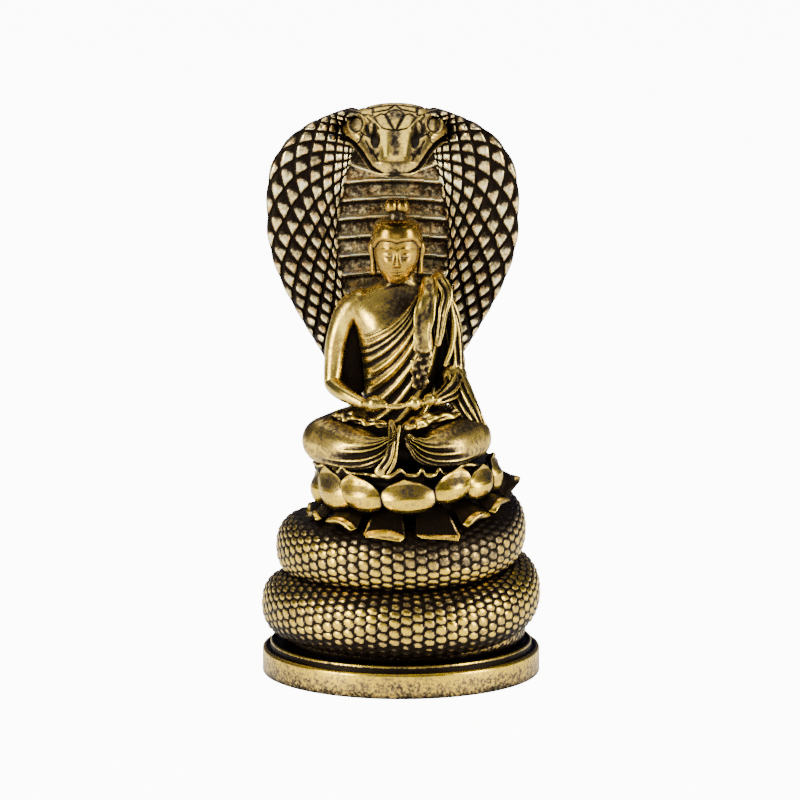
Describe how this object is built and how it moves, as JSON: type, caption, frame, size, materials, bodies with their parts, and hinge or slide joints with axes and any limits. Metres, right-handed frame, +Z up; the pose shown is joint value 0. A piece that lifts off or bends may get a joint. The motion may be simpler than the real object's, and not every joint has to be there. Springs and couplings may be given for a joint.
{
  "type": "naga buddha figurine",
  "caption": "Small brass figurine: a seated Buddha on a lotus, sheltered by the spread hood of a coiled cobra, on a round foot.",
  "frame": {"origin": "middle of the foot's flat underside, on the table", "axes": "+Z up, the figure faces -Y, +X to the right of someone looking at its front"},
  "size_m": [0.026, 0.026, 0.0537],
  "materials": {
    "antique_brass": "cast brass, black patina in the hollows, rubbed bright on the high places"
  },
  "bodies": {
    "root": {"naga_buddha": "antique_brass"}
  },
  "joints": []
}
